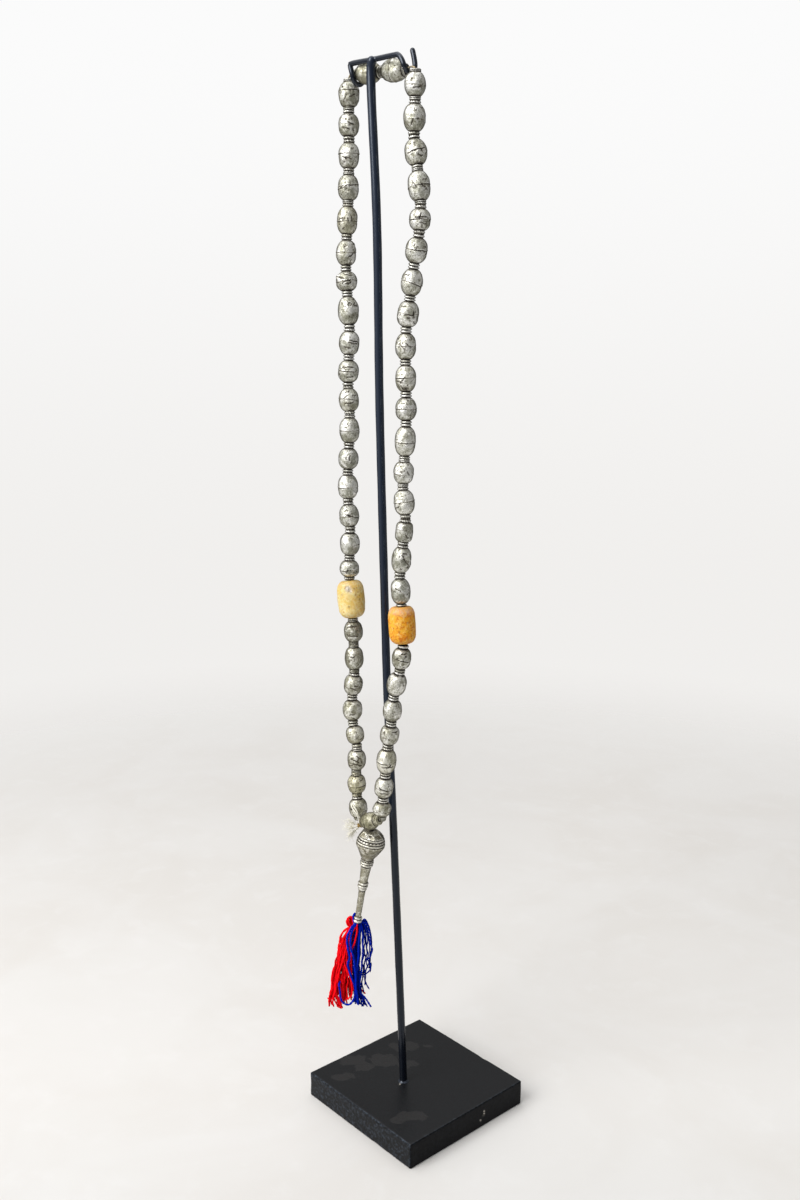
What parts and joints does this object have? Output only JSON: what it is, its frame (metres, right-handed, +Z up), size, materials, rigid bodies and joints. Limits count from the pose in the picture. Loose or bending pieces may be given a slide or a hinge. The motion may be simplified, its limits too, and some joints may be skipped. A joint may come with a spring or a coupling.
{
  "type": "prayer beads on a display stand",
  "caption": "Hollow silver prayer beads with amber barrels, a cone-shaped head bead, stem and yarn tassel, hung over the hooks of a plain black display stand.",
  "frame": {"origin": "middle of the base block's underside", "axes": "+Z up the rod; X along the crossbar between the hooks, turned six degrees from it; -Y is the side that the hooks' stems and the pendant face"},
  "size_m": [0.12, 0.12, 0.7823],
  "materials": {
    "silver": "worn silver sheet, satin, with dark crevices",
    "silver_dark": "tarnished silver sheet",
    "silver_head": "silver with dark grooves",
    "amber_pale": "worn pale yellow amber or resin",
    "amber_orange": "worn orange amber or resin",
    "thread": "cream cotton, soiled",
    "yarn_red": "matt yarn",
    "yarn_blue": "matt yarn",
    "base_paint": "black paint, satin, worn edges",
    "rod_paint": "gloss black paint"
  },
  "bodies": {
    "root": {"stand_base": "base_paint", "stand_rod": "rod_paint", "thread": "thread", "thread_tuft": "thread", "bead_top_left": "silver", "bead_top_right": "silver", "bead_left_01": "silver", "bead_left_02": "silver", "bead_left_03": "silver", "bead_left_04": "silver", "bead_left_05": "silver", "bead_left_06": "silver", "bead_left_07": "silver", "bead_left_08": "silver", "bead_left_09": "silver", "bead_left_10": "silver", "bead_left_11": "silver", "bead_left_12": "silver", "bead_left_13": "silver", "bead_left_14": "silver", "bead_left_15": "silver", "bead_left_16": "silver", "bead_left_17": "silver", "amber_left": "amber_pale", "run_left": "silver_dark", "bead_right_01": "silver", "bead_right_02": "silver", "bead_right_03": "silver", "bead_right_04": "silver", "bead_right_05": "silver", "bead_right_06": "silver", "bead_right_07": "silver", "bead_right_08": "silver", "bead_right_09": "silver", "bead_right_10": "silver", "bead_right_11": "silver", "bead_right_12": "silver", "bead_right_13": "silver", "bead_right_14": "silver", "bead_right_15": "silver", "bead_right_16": "silver", "bead_right_17": "silver", "amber_right": "amber_orange", "run_right": "silver_dark"},
    "pendant": {"imam_bead": "silver_head", "pendant_stem": "silver_head", "pendant_thread": "thread", "tassel_red": "yarn_red", "tassel_blue": "yarn_blue"}
  },
  "joints": [
    {"name": "pendant_swing", "type": "hinge", "parent": "root", "child": "pendant", "pos_m": [-0.0122, -0.037, 0.2365], "axis": [1, 0, 0], "range_deg": [-28, 25]}
  ]
}
